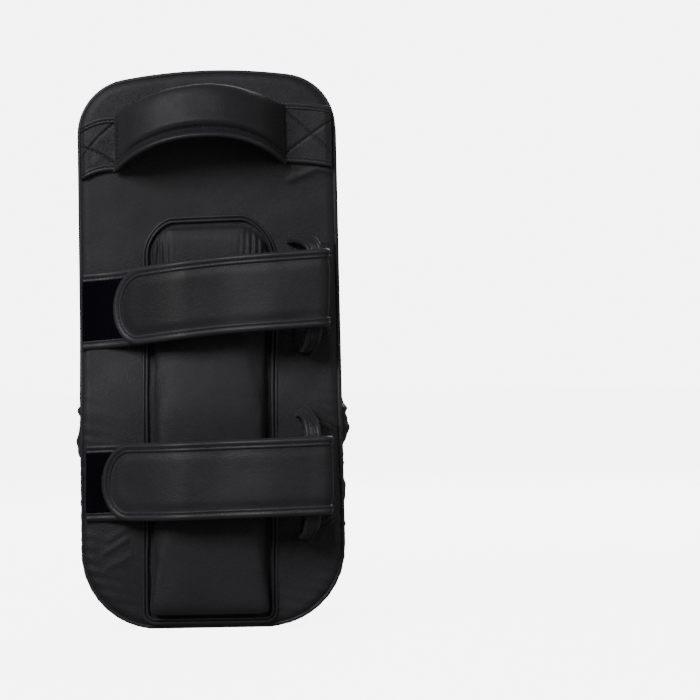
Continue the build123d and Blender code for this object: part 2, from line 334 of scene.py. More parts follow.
def add_stitches(name, paths, body="root"):
    """Thread stitches along paths of (point, outward normal): bent capsules that dip at both ends."""
    verts = []
    faces = []
    sides = 6
    for path in paths:
        travelled = 0.0
        target = STITCH_PITCH / 2
        for (a, up_a), (b, up_b) in zip(path, path[1:]):
            span = (b - a).length
            while span > 0 and travelled + span >= target:
                share = (target - travelled) / span
                centre = a.lerp(b, share)
                out = up_a.lerp(up_b, share).normalized()
                along = (b - a).normalized()
                side = along.cross(out).normalized()
                start = len(verts)
                for offset, scale, lift in STITCH:
                    ring = centre + along * (offset * STITCH_LENGTH) + out * (lift * STITCH_RADIUS)
                    r = STITCH_RADIUS * scale
                    for k in range(sides):
                        angle = 2 * math.pi * k / sides
                        verts.append(ring + side * (r * math.cos(angle)) + out * (r * math.sin(angle)))
                faces += grid_faces(len(STITCH), sides, closed=True, start=start)
                faces += end_caps(len(STITCH), sides, start)
                target += STITCH_PITCH
            travelled += span
    return add_object(name, verts, faces, THREAD, body)


# ---- materials
def node_material(name, colour, roughness):
    material = bpy.data.materials.new(name)
    material.use_nodes = True
    tree = material.node_tree
    shader = tree.nodes["Principled BSDF"]
    shader.inputs["Base Color"].default_value = (*colour, 1)
    shader.inputs["Roughness"].default_value = roughness
    return material, tree, shader


def add_node(tree, kind, inputs, output, **settings):
    """Adds a node and returns one output. Each input is given a value, or the socket to link to it."""
    node = tree.nodes.new("ShaderNode" + kind)
    for key, value in settings.items():
        setattr(node, key, value)
    for key, value in inputs.items():
        if isinstance(value, bpy.types.NodeSocket):
            tree.links.new(value, node.inputs[key])
        else:
            node.inputs[key].default_value = value
    return node.outputs[output]


def own_place(tree):
    """The place on the object, which the textures read."""
    return add_node(tree, "TexCoord", {}, "Object")


def add_ramp(tree, fac, low, high):
    """A colour ramp between two stops of (position, colour)."""
    colour = add_node(tree, "ValToRGB", {"Fac": fac}, "Color")
    for element, (position, shade) in zip(colour.node.color_ramp.elements, (low, high)):
        element.position = position
        element.color = (*shade, 1)
    return colour


def add_bumps(tree, shader, *bumps):
    """Bumps the shader by several heights in turn, each as (height, strength, distance)."""
    normal = None
    for height, strength, distance in bumps:
        inputs = {"Height": height, "Strength": strength, "Distance": distance}
        if normal:
            inputs["Normal"] = normal
        normal = add_node(tree, "Bump", inputs, "Normal")
    tree.links.new(normal, shader.inputs["Normal"])


def tint(colour, factor, lift=0.0):
    """A lighter or darker form of a colour."""
    return [min(c * factor + lift, 1) for c in colour]


def leather(name, colour, roughness, crease, seed, grain=0.35):
    """Full-grain leather: fine pebble, shallow creases, uneven dye and a dull sheen."""
    material, tree, shader = node_material(name, colour, roughness)
    shift = {"Vector": own_place(tree), "Location": (seed, seed * 0.7, seed * 1.3)}
    where = add_node(tree, "Mapping", shift, "Vector")

    def cloud(scale, detail, rough, distortion=0.0):
        shape = {"Scale": scale, "Detail": detail, "Roughness": rough, "Distortion": distortion}
        return add_node(tree, "TexNoise", {"Vector": where, **shape}, "Fac")

    def remap(value, **limits):
        inputs = {key.replace("_", " "): limit for key, limit in limits.items()}
        return add_node(tree, "MapRange", {"Value": value, **inputs}, "Result")

    cells = {"Vector": where, "Scale": 620.0}
    pebble = add_node(tree, "TexVoronoi", cells, "Distance", feature="DISTANCE_TO_EDGE")
    fold = cloud(26.0, 4.0, 0.5, 0.8)
    patch = cloud(11.0, 4.0, 0.55)
    fine = cloud(240.0, 5.0, 0.7)
    dye = add_ramp(tree, patch, (0.34, tint(colour, 0.75)), (0.68, tint(colour, 1.25, 0.002)))
    layers = {"Fac": 0.5, "Color1": dye, "Color2": remap(fine, To_Min=0.75, To_Max=1.25)}
    speckled = add_node(tree, "MixRGB", layers, "Color", blend_type="MULTIPLY")
    tree.links.new(speckled, shader.inputs["Base Color"])
    shine = remap(fold, To_Min=roughness - 0.07, To_Max=roughness + 0.1)
    tree.links.new(shine, shader.inputs["Roughness"])
    add_bumps(
        tree,
        shader,
        (remap(pebble, From_Max=0.22), grain, 0.0003),
        (fine, grain, 0.0004),
        (remap(fold, From_Min=0.35, From_Max=0.65), crease, 0.0012),
    )
    shader.inputs["Sheen Weight"].default_value = 0.06
    shader.inputs["Sheen Roughness"].default_value = 0.5
    shader.inputs["Specular IOR Level"].default_value = 0.36
    return material


def thread(name, colour):
    """Twisted sewing thread, with painted shade in the grooves of its twist and a painted highlight on its
    ridges.
    """
    material, tree, shader = node_material(name, colour, 0.6)
    inputs = {"Vector": own_place(tree), "Scale": 900.0, "Distortion": 0.4}
    twist = add_node(tree, "TexWave", inputs, "Fac", bands_direction="DIAGONAL")
    add_bumps(tree, shader, (twist, 0.5, 0.0002))
    # Painted shade and highlight: the colour follows the twist's bump, darker in its grooves and lighter on
    # its ridges.
    shade = add_ramp(tree, twist, (0.0, tint(colour, 0.6)), (1.0, tint(colour, 1.25)))
    tree.links.new(shade, shader.inputs["Base Color"])
    return material


def pile(name, colour, scale, depth):
    """The looped pile of hook-and-loop tape, or its hooks with a coarser scale, with painted shade deep in
    the pile and a painted highlight on the loop tops.
    """
    material, tree, shader = node_material(name, colour, 0.95)
    where = own_place(tree)
    inputs = {"Vector": where, "Scale": scale, "Detail": 3.0, "Roughness": 0.8}
    loops = add_node(tree, "TexNoise", inputs, "Fac")
    clumps = add_node(tree, "TexVoronoi", {"Vector": where, "Scale": scale * 0.35}, "Distance")
    height = add_node(tree, "Math", {0: loops, 1: clumps}, "Value", operation="ADD")
    add_bumps(tree, shader, (height, 0.9, depth))
    # Painted shade and highlight: the colour follows the loops' bump, dark where the pile is low and light
    # where it stands up.
    shade = add_ramp(tree, loops, (0.35, tint(colour, 0.4)), (0.75, tint(colour, 2.2)))
    tree.links.new(shade, shader.inputs["Base Color"])
    shader.inputs["Sheen Weight"].default_value = 0.03
    shader.inputs["Specular IOR Level"].default_value = 0.05
    return material


def foam(name, colour):
    """Closed-cell foam: small round cells."""
    material, tree, shader = node_material(name, colour, 0.9)
    cells = add_node(tree, "TexVoronoi", {"Vector": own_place(tree), "Scale": 700.0}, "Distance")
    add_bumps(tree, shader, (cells, 0.4, 0.0004))
    return material


ARM_LEATHER = leather("arm_leather", (0.0135, 0.0130, 0.0160), 0.55, crease=0.05, seed=0.0)
STRIKE_LEATHER = leather("strike_leather", (0.0150, 0.0135, 0.0155), 0.56, crease=0.06, seed=3.1)
SIDE_LEATHER = leather("side_leather", (0.0105, 0.0100, 0.0125), 0.52, crease=0.12, seed=5.7)
STRAP_LEATHER = leather("strap_leather", (0.0140, 0.0135, 0.0165), 0.52, crease=0.04, seed=8.3)
EDGE_LEATHER = leather("edge_leather", (0.0190, 0.0185, 0.0220), 0.45, crease=0.04, seed=11.9, grain=0.2)
PRINT = leather("print", (0.0075, 0.0070, 0.0080), 0.34, crease=0.03, seed=3.1, grain=0.15)
THREAD = thread("black_thread", (0.0130, 0.0125, 0.0150))
PILE = pile("pile", (0.0018, 0.0018, 0.0042), scale=1500.0, depth=0.0008)
HOOK = pile("hook", (0.0035, 0.0035, 0.0045), scale=700.0, depth=0.0012)
FOAM = foam("foam", (0.5, 0.48, 0.42))


# ---- body
COLUMNS = 720
PRINT_X = 0.006
PRINT_Z = 0.290
PRINT_TILT = math.radians(9.0)
PRINT_PANEL_X = -0.008
PRINT_PANEL_Z = 0.095

# Loose folds of the side band as (side, z of the middle, half length, how far it stands out)
SIDE_FOLDS = [
    (-1, 0.1555, 0.0045, 0.0034),
    (-1, 0.1340, 0.0120, 0.0046),
    (-1, 0.1060, 0.0090, 0.0012),
    (-1, 0.0830, 0.0080, 0.0010),
    (-1, 0.0580, 0.0090, 0.0007),
    (1, 0.1570, 0.0050, 0.0034),
    (1, 0.1430, 0.0100, 0.0062),
    (1, 0.1190, 0.0070, 0.0014),
    (1, 0.0990, 0.0090, 0.0024),
    (1, 0.0740, 0.0090, 0.0014),
    (1, 0.0500, 0.0080, 0.0008),
]


def side_fold(side, z):
    """How far the loose folds push the side band out at a height."""
    return sum(out * bell(z, middle, half) for at, middle, half, out in SIDE_FOLDS if at * side > 0)


def gather(z):
    """How strongly the seam gathers the leather at a height, from 0 to 1."""
    return smooth((z + 0.01) / 0.04) * smooth((0.185 - z) / 0.035)


def pucker(s, seed):
    """Narrow uneven puckers along a seam, in -1..1."""
    warp = hum(s * 38, seed, 0.3) * 2.6
    ridge = math.sin(s * 2 * math.pi / 0.0085 + warp * 2.2)
    strength = 0.5 + 0.5 * hum(s * 60, seed, 7.1)
    return ridge * strength


def make_gusset():
    """The side band: tight in its upper half, gathered and folded in its lower half."""
    outline = pad_outline(COLUMNS)
    normals = outline_normals(outline)
    rows = 40
    pitch = sum((b - a).length for a, b in zip(outline, outline[1:])) / (COLUMNS - 1)
    verts = []
    for row in range(rows):
        share = row / (rows - 1)
        belly = 0.0014 * math.sin(math.pi * share) ** 0.6
        tuck = 0.0010 * (bell(share, 0, 0.04) + bell(share, 1, 0.03))
        gathered = smooth((share - 0.45) / 0.4) * smooth((1 - share) / 0.05)
        for column, (point, normal) in enumerate(zip(outline, normals)):
            s = column * pitch
            z = point.y
            y = mix(SEAM_Y - 0.0015, arm_y(z) + 0.0042, share)
            on_side = smooth((abs(normal.x) - 0.6) / 0.35)
            slope = 0.02 * (share - 0.8) * point.x / abs(point.x + 0.00001)
            folds = side_fold(point.x, z + slope) * on_side * bell(share, 0.84, 0.17)
            fine = 0.0009 * gather(z) * pucker(s, 1.0) * gathered
            top_fine = 0.0003 * pucker(s, 6.0) * bell(share, 0.05, 0.06)
            soft = 0.0006 * ripple(s, y, 0.045, 2.0) + 0.0005 * gather(z) * ripple(s, y, 0.016, 5.0)
            place = point + normal * (belly + folds + fine + top_fine - tuck + soft)
            verts.append(Vector((place.x, y, max(place.y, 0.0))))
    piece = add_object("side_gusset_leather", verts, grid_faces(rows, COLUMNS, closed=True), SIDE_LEATHER)
    thicken(piece, 0.0012)
    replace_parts(piece, "side_gusset")


# Fine folds of the arm panel's leather as (x and z of one end, x and z of the other, height, half width)
PANEL_FOLDS = [
    (0.0600, 0.3215, 0.0800, 0.3290, 0.0011, 0.0022),
    (0.0800, 0.3290, 0.0930, 0.3262, 0.0011, 0.0022),
    (-0.0790, 0.0540, -0.0620, 0.0645, 0.0006, 0.0020),
    (-0.0760, 0.0440, -0.0600, 0.0530, 0.0004, 0.0022),
    (-0.0740, 0.0650, -0.0610, 0.0735, 0.0004, 0.0020),
]


def panel_fold(x, z):
    """How far the fine folds raise the arm panel's leather at a place."""
    raised = 0.0
    place = Vector((x, z))
    for start_x, start_z, end_x, end_z, height, half in PANEL_FOLDS:
        start = Vector((start_x, start_z))
        run = Vector((end_x, end_z)) - start
        share = min(max((place - start).dot(run) / run.length_squared, 0.0), 1.0)
        raised = max(raised, height * bell((place - start - run * share).length, 0, half))
    return raised


def make_arm_panel():
    """The panel that the straps and the grip are sewn to, soft over its foam."""
    outline = pad_outline(COLUMNS)
    edge = kdtree.KDTree(COLUMNS)
    for index, point in enumerate(outline):
        edge.insert((point.x, point.y, 0), index)
    edge.balance()

    def on_panel(x, z):
        inside = edge.find((x, z, 0))[2]
        roll = 0.0030 * max(1 - inside / 0.0060, 0.0) ** 2.0
        swell = 0.0008 * smooth(inside / 0.03)
        soft = 0.0005 * ripple(x, z, 0.05, 4.0) + 0.0003 * ripple(x, z, 0.018, 9.0)
        drawn = 0.0005 * gather(z) * math.exp(-inside / 0.010) * pucker(z + x * 0.2, 2.5)
        return Vector((x, arm_y(z) + roll - swell - soft - drawn - panel_fold(x, z), z))

    rings = 64
    places = shrinking_rings(outline, rings, SPINE_LOW, SPINE_HIGH, first=0)
    verts = [on_panel(*place) for _, place in places]
    faces = grid_faces(rings + 1, COLUMNS, closed=True)
    piece = add_object("arm_panel_leather", verts, faces, ARM_LEATHER)
    weld(piece)
    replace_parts(piece, "arm_panel", "panel_lining")


def make_strike_panel():
    """The striking face: one tight panel that turns over a round edge into the seam."""
    outline = pad_outline(COLUMNS // 2)
    normals = outline_normals(outline)
    edge_rows = 12
    rings = 60
    edge_radius = 0.0135
    flat_y = STRIKE_Y - 0.0012
    verts = []
    for row in range(edge_rows + 1):
        angle = math.pi / 2 * row / edge_rows
        y = SEAM_Y + (flat_y - SEAM_Y) * math.sin(angle)
        for point, normal in zip(outline, normals):
            place = point - normal * (edge_radius * (1 - math.cos(angle)))
            verts.append(Vector((place.x, y, max(place.y, 0.0))))
    inner = [point - normal * edge_radius for point, normal in zip(outline, normals)]
    for share, place in shrinking_rings(inner, rings, SPINE_LOW, SPINE_HIGH):
        crown = 0.0022 * (1 - share**2.2)
        soft = 0.0004 * ripple(place.x, place.y, 0.06, 12.0) * (1 - share)
        verts.append(Vector((place.x, flat_y + crown + soft, place.y)))
    faces = grid_faces(edge_rows + 1 + rings, len(outline), closed=True, flip=True)
    piece = add_object("strike_face_leather", verts, faces, STRIKE_LEATHER)
    weld(piece)
    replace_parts(piece, "strike_cover")
    return piece


def make_strike_print(face):
    """Two plain marks on the striking face: rings with ticks under a tilted banner, and a ruled panel."""

    def mark(name, rows, columns, where, lift, closed=False):
        def place(across, along):
            x, z = where(across, along)
            spot = face.ray_cast(Vector((x, STRIKE_Y + 0.05, z)), OUT)[1]
            return Vector((x, spot.y + lift, z))

        piece = add_sheet(name, rows, columns, place, PRINT, closed=closed)
        weld(piece)
        thicken(piece, 0.0004, offset=0)

    def ring(name, radius, width):
        def where(across, along):
            angle = 2 * math.pi * along
            reach = radius + width * across
            return PRINT_X + reach * math.cos(angle), PRINT_Z + reach * math.sin(angle)

        mark(name, 2, 120, where, 0.00022, closed=True)

    def bar(name, x, z, length, height, tilt, lift=0.00022):
        def where(across, along):
            run = (along - 0.5) * length
            rise = (across - 0.5) * height
            turned_x = run * math.cos(tilt) - rise * math.sin(tilt)
            turned_z = run * math.sin(tilt) + rise * math.cos(tilt)
            return x + turned_x, z + turned_z

        mark(name, 12, 60, where, lift)

    ring("print_outer_ring", 0.0415, 0.0013)
    ring("print_inner_ring", 0.0330, 0.0009)
    ticks = 24
    tick_reach = 0.0375
    for index in range(ticks):
        angle = 2 * math.pi * index / ticks
        if abs(math.sin(angle)) > 0.42:
            x = PRINT_X + tick_reach * math.cos(angle)
            z = PRINT_Z + tick_reach * math.sin(angle)
            bar(f"print_tick_{index:02d}", x, z, 0.0046, 0.0016, angle)
    bar("print_banner", PRINT_X, PRINT_Z, 0.1120, 0.0250, PRINT_TILT, lift=0.00034)
    for index, offset in enumerate((-0.0090, 0.0090)):
        x = PRINT_X - offset * math.sin(PRINT_TILT)
        z = PRINT_Z + offset * math.cos(PRINT_TILT)
        bar(f"print_banner_rule_{index}", x, z, 0.1040, 0.0010, PRINT_TILT, lift=0.00060)
    bar("print_panel", PRINT_PANEL_X, PRINT_PANEL_Z, 0.0700, 0.0290, 0.0)
    for index in range(3):
        z = PRINT_PANEL_Z - 0.0190 - 0.0035 * index
        bar(f"print_panel_rule_{index}", PRINT_PANEL_X, z, 0.0700 - 0.012 * index, 0.0012, 0.0)


def make_pipings():
    """Piping in the strike seam and the bound edge round the arm panel."""
    outline = pad_outline(COLUMNS // 2)
    radius = 0.0016
    strike = []
    arm = []
    for index, (point, normal) in enumerate(zip(outline, outline_normals(outline))):
        outer = point + normal * 0.0004
        strike.append(Vector((outer.x, SEAM_Y, max(outer.y, radius))))
        wobble = 0.0004 * gather(point.y) * pucker(index * 0.003, 4.0)
        edge = point + normal * (wobble + 0.0002)
        arm.append(Vector((edge.x, arm_y(point.y) + 0.0034, max(edge.y, radius))))
    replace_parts(add_tube("strike_seam_piping", strike, radius), "strike_piping")
    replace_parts(add_tube("arm_edge_piping", arm, radius), "arm_piping")


make_gusset()
make_arm_panel()
make_strike_print(make_strike_panel())
make_pipings()


# ---- padded pieces by simulation
PADDED_LEATHER = {
    "quality": 6,
    "mass": 0.3,
    "tension_stiffness": 25,
    "compression_stiffness": 25,
    "shear_stiffness": 12,
    "bending_stiffness": 0.6,
    "use_pressure": True,
}


def puff(piece, pressure, cap, voxel, frames=20):
    """Inflates a closed shape as cloth, with no point moving further than the cap."""
    modifier = piece.modifiers.new("remesh", "REMESH")
    modifier.mode = "VOXEL"
    modifier.voxel_size = voxel
    apply_modifiers(piece)
    rest = [v.co.copy() for v in piece.data.vertices]
    scene = bpy.context.scene
    modifier = piece.modifiers.new("cloth", "CLOTH")
    settings = modifier.settings
    for key, value in PADDED_LEATHER.items():
        setattr(settings, key, value)
    settings.uniform_pressure_force = pressure
    settings.effector_weights.gravity = 0
    modifier.point_cache.frame_start = 1
    modifier.point_cache.frame_end = frames
    for step in range(1, frames + 1):
        scene.frame_set(step)
    apply_modifiers(piece)
    for vertex, start in zip(piece.data.vertices, rest):
        move = vertex.co - start
        if move.length > cap:
            vertex.co = start + move * (cap / move.length)
    scene.frame_set(1)


# ---- forearm cushion
CUSHION_LOW, CUSHION_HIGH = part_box("forearm_cover")
CUSHION_X = (CUSHION_LOW.x + CUSHION_HIGH.x) / 2
CUSHION_HALF = (CUSHION_HIGH.x - CUSHION_LOW.x) / 2
CUSHION_SWELL = 0.003
CUSHION_HEIGHT = LOWER_Y - CUSHION_LOW.y - CUSHION_SWELL
CUSHION_LEFT_CORNER = 0.016
CUSHION_RIGHT_CORNER = 0.021
CUSHION_LOW_CORNER = 0.0045
CUSHION_CROWN = 0.009
CUSHION_LEAN = 0.015

# The cushion's wall before it is inflated, as (how far in from its outline, share of its height)
CUSHION_WALL = [(0.0, 0.0), (-0.0008, 0.35), (-0.0004, 0.72), (0.0014, 0.94), (0.0052, 1.0)]

# Where the seam gathers the cushion, as (x from its middle, z below its top, width, length)
CUSHION_GATHERS = [
    (-0.0370, 0.0240, 0.0085, 0.0130),
    (0.0350, 0.0230, 0.0080, 0.0120),
]


def cushion_outline(count, inset=0.0):
    """Outline of the forearm cushion as (x, z): an arched top end and a squarer lower end."""
    high_z = CUSHION_HIGH.z
    corners = [
        (1, high_z - CUSHION_RIGHT_CORNER, CUSHION_RIGHT_CORNER),
        (-1, high_z - CUSHION_LEFT_CORNER, CUSHION_LEFT_CORNER),
        (-1, CUSHION_LOW.z + CUSHION_LOW_CORNER, CUSHION_LOW_CORNER),
        (1, CUSHION_LOW.z + CUSHION_LOW_CORNER, CUSHION_LOW_CORNER),
    ]
    steps = 24
    chain = []
    for quarter, (side, centre_z, radius) in enumerate(corners):
        for step in range(steps + 1):
            angle = math.pi / 2 * (quarter + step / steps)
            x = side * (CUSHION_HALF - radius) + (radius - inset) * math.cos(angle)
            z = centre_z + (radius - inset) * math.sin(angle)
            if z > high_z - 0.05:
                z -= CUSHION_CROWN * (x / CUSHION_HALF) ** 2 * smooth((z - high_z + 0.05) / 0.04)
            chain.append(Vector((CUSHION_X + x + CUSHION_LEAN * (z - 0.15), z)))
    return resample(chain, count)


def cushion_wave(x, z):
    """Folds that the seam gathers into the cushion at its top corners, and softer ones down its sides."""
    across = x - CUSHION_X
    fold = math.sin(across * 2 * math.pi / 0.0042 + 1.5 * hum(x * 90, z * 50, 3.0))
    wave = 0.0
    for middle, below, width, length in CUSHION_GATHERS:
        wave += 0.0013 * bell(across, middle, width) * bell(z, CUSHION_HIGH.z - below, length) * fold
    edge = smooth((abs(across) / CUSHION_HALF - 0.72) / 0.25)
    broad = hum(x * 30, z * 26, 8.0)
    fine = hum(x * 80, z * 70, 1.0)
    return wave + edge * (0.0006 * broad + 0.0004 * fine)


def make_forearm_cushion():
    """The raised cushion under the forearm: inflated as cloth, then pulled in at its piping."""
    count = 240
    rings = 14
    outline = cushion_outline(count, 0.0012)
    normals = outline_normals(outline)
    verts = []
    for inset, share in CUSHION_WALL:
        for point, normal in zip(outline, normals):
            place = point - normal * inset
            verts.append(Vector((place.x, arm_y(place.y) - 0.0003 - share * CUSHION_HEIGHT, place.y)))
    top = [point - normal * CUSHION_WALL[-1][0] for point, normal in zip(outline, normals)]
    spine = (CUSHION_LOW.z + 0.045, CUSHION_HIGH.z - 0.055)
    for share, place in shrinking_rings(top, rings, *spine, x=CUSHION_X):
        crown = 0.0018 * (1 - share**2)
        verts.append(Vector((place.x, arm_y(place.y) - CUSHION_HEIGHT - crown, place.y)))
    faces = grid_faces(len(CUSHION_WALL) + rings, count, closed=True)
    faces.append(tuple(range(count))[::-1])
    piece = add_object("forearm_cushion_leather", verts, faces, ARM_LEATHER)
    weld(piece)
    puff(piece, pressure=4.0, cap=0.0030, voxel=0.0040)
    refine(piece, 2)
    for vertex in piece.data.vertices:
        x, z = vertex.co.x, vertex.co.z
        panel = arm_y(z)
        vertex.co.y -= cushion_wave(x, z) * smooth((panel - vertex.co.y) / 0.008)
        vertex.co.y = min(vertex.co.y, panel - 0.0002)
    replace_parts(piece, "forearm_cover", "forearm_foam")

    cord = []
    for point in cushion_outline(300, -0.0010):
        side = smooth((abs(point.x - CUSHION_X) / CUSHION_HALF - 0.7) / 0.3)
        wander = 0.0005 * side * hum(point.y * 60, 4.4, 0)
        cord.append(Vector((point.x + wander, arm_y(point.y) - 0.0022, point.y)))
    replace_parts(add_tube("forearm_piping_cord", cord, 0.0011), "forearm_piping")
    flange = [Vector((x, arm_y(z) - 0.0010, z)) for x, z in cushion_outline(300, -0.0036)]
    add_tube("forearm_piping_flange", flange, 0.0011, flat=0.8)


make_forearm_cushion()


# ---- hand grip
GRIP_X = -0.0045
GRIP_SPAN = 0.0610
GRIP_FOOT = 0.0048
GRIP_RISE_OUT = 0.032
GRIP_THICK = 0.0175
GRIP_END_TOP = (0.3700, 0.3765)
GRIP_END_LOW = (0.3308, 0.3345)
GRIP_TOP_RISE = 0.0145
GRIP_LOW_RISE = 0.0195
GRIP_SEAM = 0.74
GRIP_END_SEAM = 0.965
TAB_HEIGHT = 0.003


def grip_edges(u):
    """The z of the grip's lower and upper edge at u from -1 to 1."""
    share = (u + 1) / 2
    low = mix(*GRIP_END_LOW, share) + GRIP_LOW_RISE * (1 - min(abs(u - 0.06 * (1 - u * u)), 1) ** 2.4)
    bent = (0.13 - u) / 1.13 if u < 0.13 else (u - 0.13) / 0.80
    top = mix(*GRIP_END_TOP, share) + GRIP_TOP_RISE * (1 - min(bent, 1) ** (2.3 if u < 0.13 else 1.7))
    return low, top


def grip_height(u):
    """How far the middle of the grip stands off the panel, and how full it is."""
    rise = 1 - abs(u) ** 2.6
    return GRIP_FOOT + rise * GRIP_RISE_OUT, rise


def grip_point(u, angle, grow=0.0):
    """A point of the grip's skin; the skin narrows to a sewn flange along its lower edge."""
    low, top = grip_edges(u)
    height, rise = grip_height(u)
    up = math.sin(angle)
    out = math.cos(angle)
    full = 0.16 + 0.84 * smooth(rise / 0.55)
    pinch = 1 - 0.85 * smooth((-up - 0.42) / 0.55)
    half_thick = (GRIP_THICK / 2 * full + grow) * pinch
    front = GRIP_THICK / 2 * full * 0.85 * smooth((0.15 - up) / 1.1)
    z = (low + top) / 2 + up * ((top - low) / 2 + grow)
    y = UPPER_Y - height - out * half_thick - front
    return Vector((GRIP_X + u * GRIP_SPAN, min(y, UPPER_Y - TAB_HEIGHT - 0.0002), z))


def make_grip():
    """The padded grip, its bound lower edge and the stitch line above the binding."""
    columns = 120
    sides = 96
    verts = []
    for column in range(columns + 1):
        u = 2 * column / columns - 1
        end = smooth((abs(u) - 0.86) / 0.14)
        seam = -0.0009 * bell(abs(u), GRIP_END_SEAM, 0.010)
        for k in range(sides):
            angle = 2 * math.pi * k / sides
            up = math.sin(angle)
            wrinkle = 0.0004 * end * math.sin(up * 11 + 4 * hum(u * 9, up * 2, 5.0))
            dent = 0.0005 * hum(u * 3.1, up * 1.7, 2.0)
            groove = -0.0013 * bell(up, -GRIP_SEAM, 0.035) if math.cos(angle) > 0 else 0.0
            verts.append(grip_point(u, angle, wrinkle + dent + groove + seam))
    faces = grid_faces(columns + 1, sides, closed=True, flip=True)
    faces += end_caps(columns + 1, sides, flip=True)
    piece = add_object("grip_leather", verts, faces, ARM_LEATHER)
    weld(piece)
    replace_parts(piece, "grip_cover", "grip_foam", "grip_webbing")

    steps = 100
    seam_angle = -math.asin(GRIP_SEAM)
    seam_normal = Vector((0, -1, -0.3)).normalized()
    edge = []
    seam_row = []
    for i in range(steps + 1):
        u = 2 * i / steps - 1
        edge.append(grip_point(u, -math.pi / 2) + Vector((0, 0, -0.0008)))
        if abs(u) < 0.97:
            seam_row.append((grip_point(u, seam_angle, -0.0009), seam_normal))
    add_tube("grip_edge_binding", edge, 0.0017, closed=False, flat=1.1)
    threads = [seam_row]
    for u in (-GRIP_END_SEAM, GRIP_END_SEAM):
        angles = [math.asin(0.92 * (2 * i / 30 - 1)) for i in range(31)]
        threads.append([(grip_point(u, angle, -0.0003), OUT) for angle in angles])
    add_stitches("grip_stitching", threads)


TAB_CROSS_RISE = 0.40


class Tab:
    """A sewn end of the grip, by its four corners in x and z and where its stitched cross meets."""

    def __init__(self, side, inner, outer, cross, bow):
        self.side = side
        self.inner_low, self.inner_high = Vector(inner[0]), Vector(inner[1])
        self.outer_low, self.outer_high = Vector(outer[0]), Vector(outer[1])
        self.cross = cross
        self.bow = bow

    def place(self, a, b, lift):
        """a runs from the inner to the outer end, b from the lower to the upper edge."""
        inner = self.inner_low.lerp(self.inner_high, b)
        outer = self.outer_low.lerp(self.outer_high, b)
        place = inner.lerp(outer, a)
        wrap = 0.0022 * smooth((a - 0.86) / 0.14)
        return Vector((place.x, UPPER_Y - lift + wrap, place.y + self.bow * math.sin(math.pi * a)))

    def cross_distance(self, a, b):
        """How far a place is from the stitched cross, as a share of the tab's height."""
        slope = TAB_CROSS_RISE / self.cross
        rise = slope * (self.cross - a)
        return min(abs(b - 0.5 - rise), abs(b - 0.5 + rise))


TABS = [
    Tab("left", ((-0.0635, 0.3296), (-0.0645, 0.3690)), ((-0.0903, 0.3238), (-0.0903, 0.3625)), 0.80, 0.0022),
    Tab("right", ((0.0545, 0.3340), (0.0545, 0.3772)), ((0.0903, 0.3300), (0.0903, 0.3735)), 0.60, 0.0008),
]


def make_tab(tab):
    """Flat leather with bound edges and a boxed cross of stitches."""
    left = tab.side == "left"

    def surface(b, a):
        lift = 0.0034 - 0.0009 * bell(tab.cross_distance(a, b), 0, 0.022)
        lift += 0.0004 * hum(a * 3, b * 4, tab.cross * 9)
        return tab.place(a, b, lift)

    piece = add_sheet(f"{tab.side}_tab_leather", 60, 50, surface, STRAP_LEATHER, flip=left)
    thicken(piece, 0.0018)
    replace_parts(piece, f"{tab.side}_handle_tab")
    shares = [i / 40 for i in range(41)]
    threads = []
    for name, b, inward in (("lower", 0.0, Vector((0, 0, 1))), ("upper", 1.0, Vector((0, 0, -1)))):
        path = [(tab.place(a, b, 0.0036), OUT, inward) for a in (shares if left else shares[::-1])]
        add_binding(f"{tab.side}_tab_{name}_binding", path, scale=0.75)
        threads.append(binding_stitches(path, 0.75))
    for sign in (-1, 1):
        slope = sign * TAB_CROSS_RISE / tab.cross
        ends = [0.03 + 0.94 * share for share in shares]
        threads.append([(tab.place(a, 0.5 + slope * (tab.cross - a), 0.0027), OUT) for a in ends])
    threads.append([(tab.place(0.05, 0.12 + 0.76 * i / 30, 0.0034), OUT) for i in range(31)])
    add_stitches(f"{tab.side}_tab_stitching", threads)


make_grip()
for tab in TABS:
    make_tab(tab)


# ---- straps
STRAP_HALF = 0.0273
STRAP_THICK = 0.0024
FOLD_X = 0.0803
FOLD_RADIUS = 0.0040
FOLD_LEAN = math.radians(1.0)
STRAP_CLEARANCE = 0.030
FLAP_STACK = 0.0051
FLAP_HEIGHT = STRAP_CLEARANCE + STRAP_THICK + 2 * FOLD_RADIUS
FOLD_SKIN = FOLD_RADIUS + STRAP_THICK
TIP_REACH = 0.020
STRAP_DROOP = {"upper": 0.0045, "lower": 0.0}
LOOP_HEIGHT = 0.0353
PATCH_HALF = {"upper": (0.0385, 0.0330), "lower": (0.0460, 0.0350)}
LOOP_HALF_WIDTH = 0.0053
PATCH_SEAMS = (0.0030, 0.0075)
# Of each loop: where its bridge lies in x, and of its top and bottom foot x, distance from the
# strap's middle and how far the strip is turned on its edge
LOOPS = {
    "upper": (0.0765, (0.0595, 0.0385, 0.95), (0.0690, 0.0440, 1.0)),
    "lower": (0.0735, (0.0640, 0.0455, 0.85), (0.0660, 0.0450, 1.0)),
}


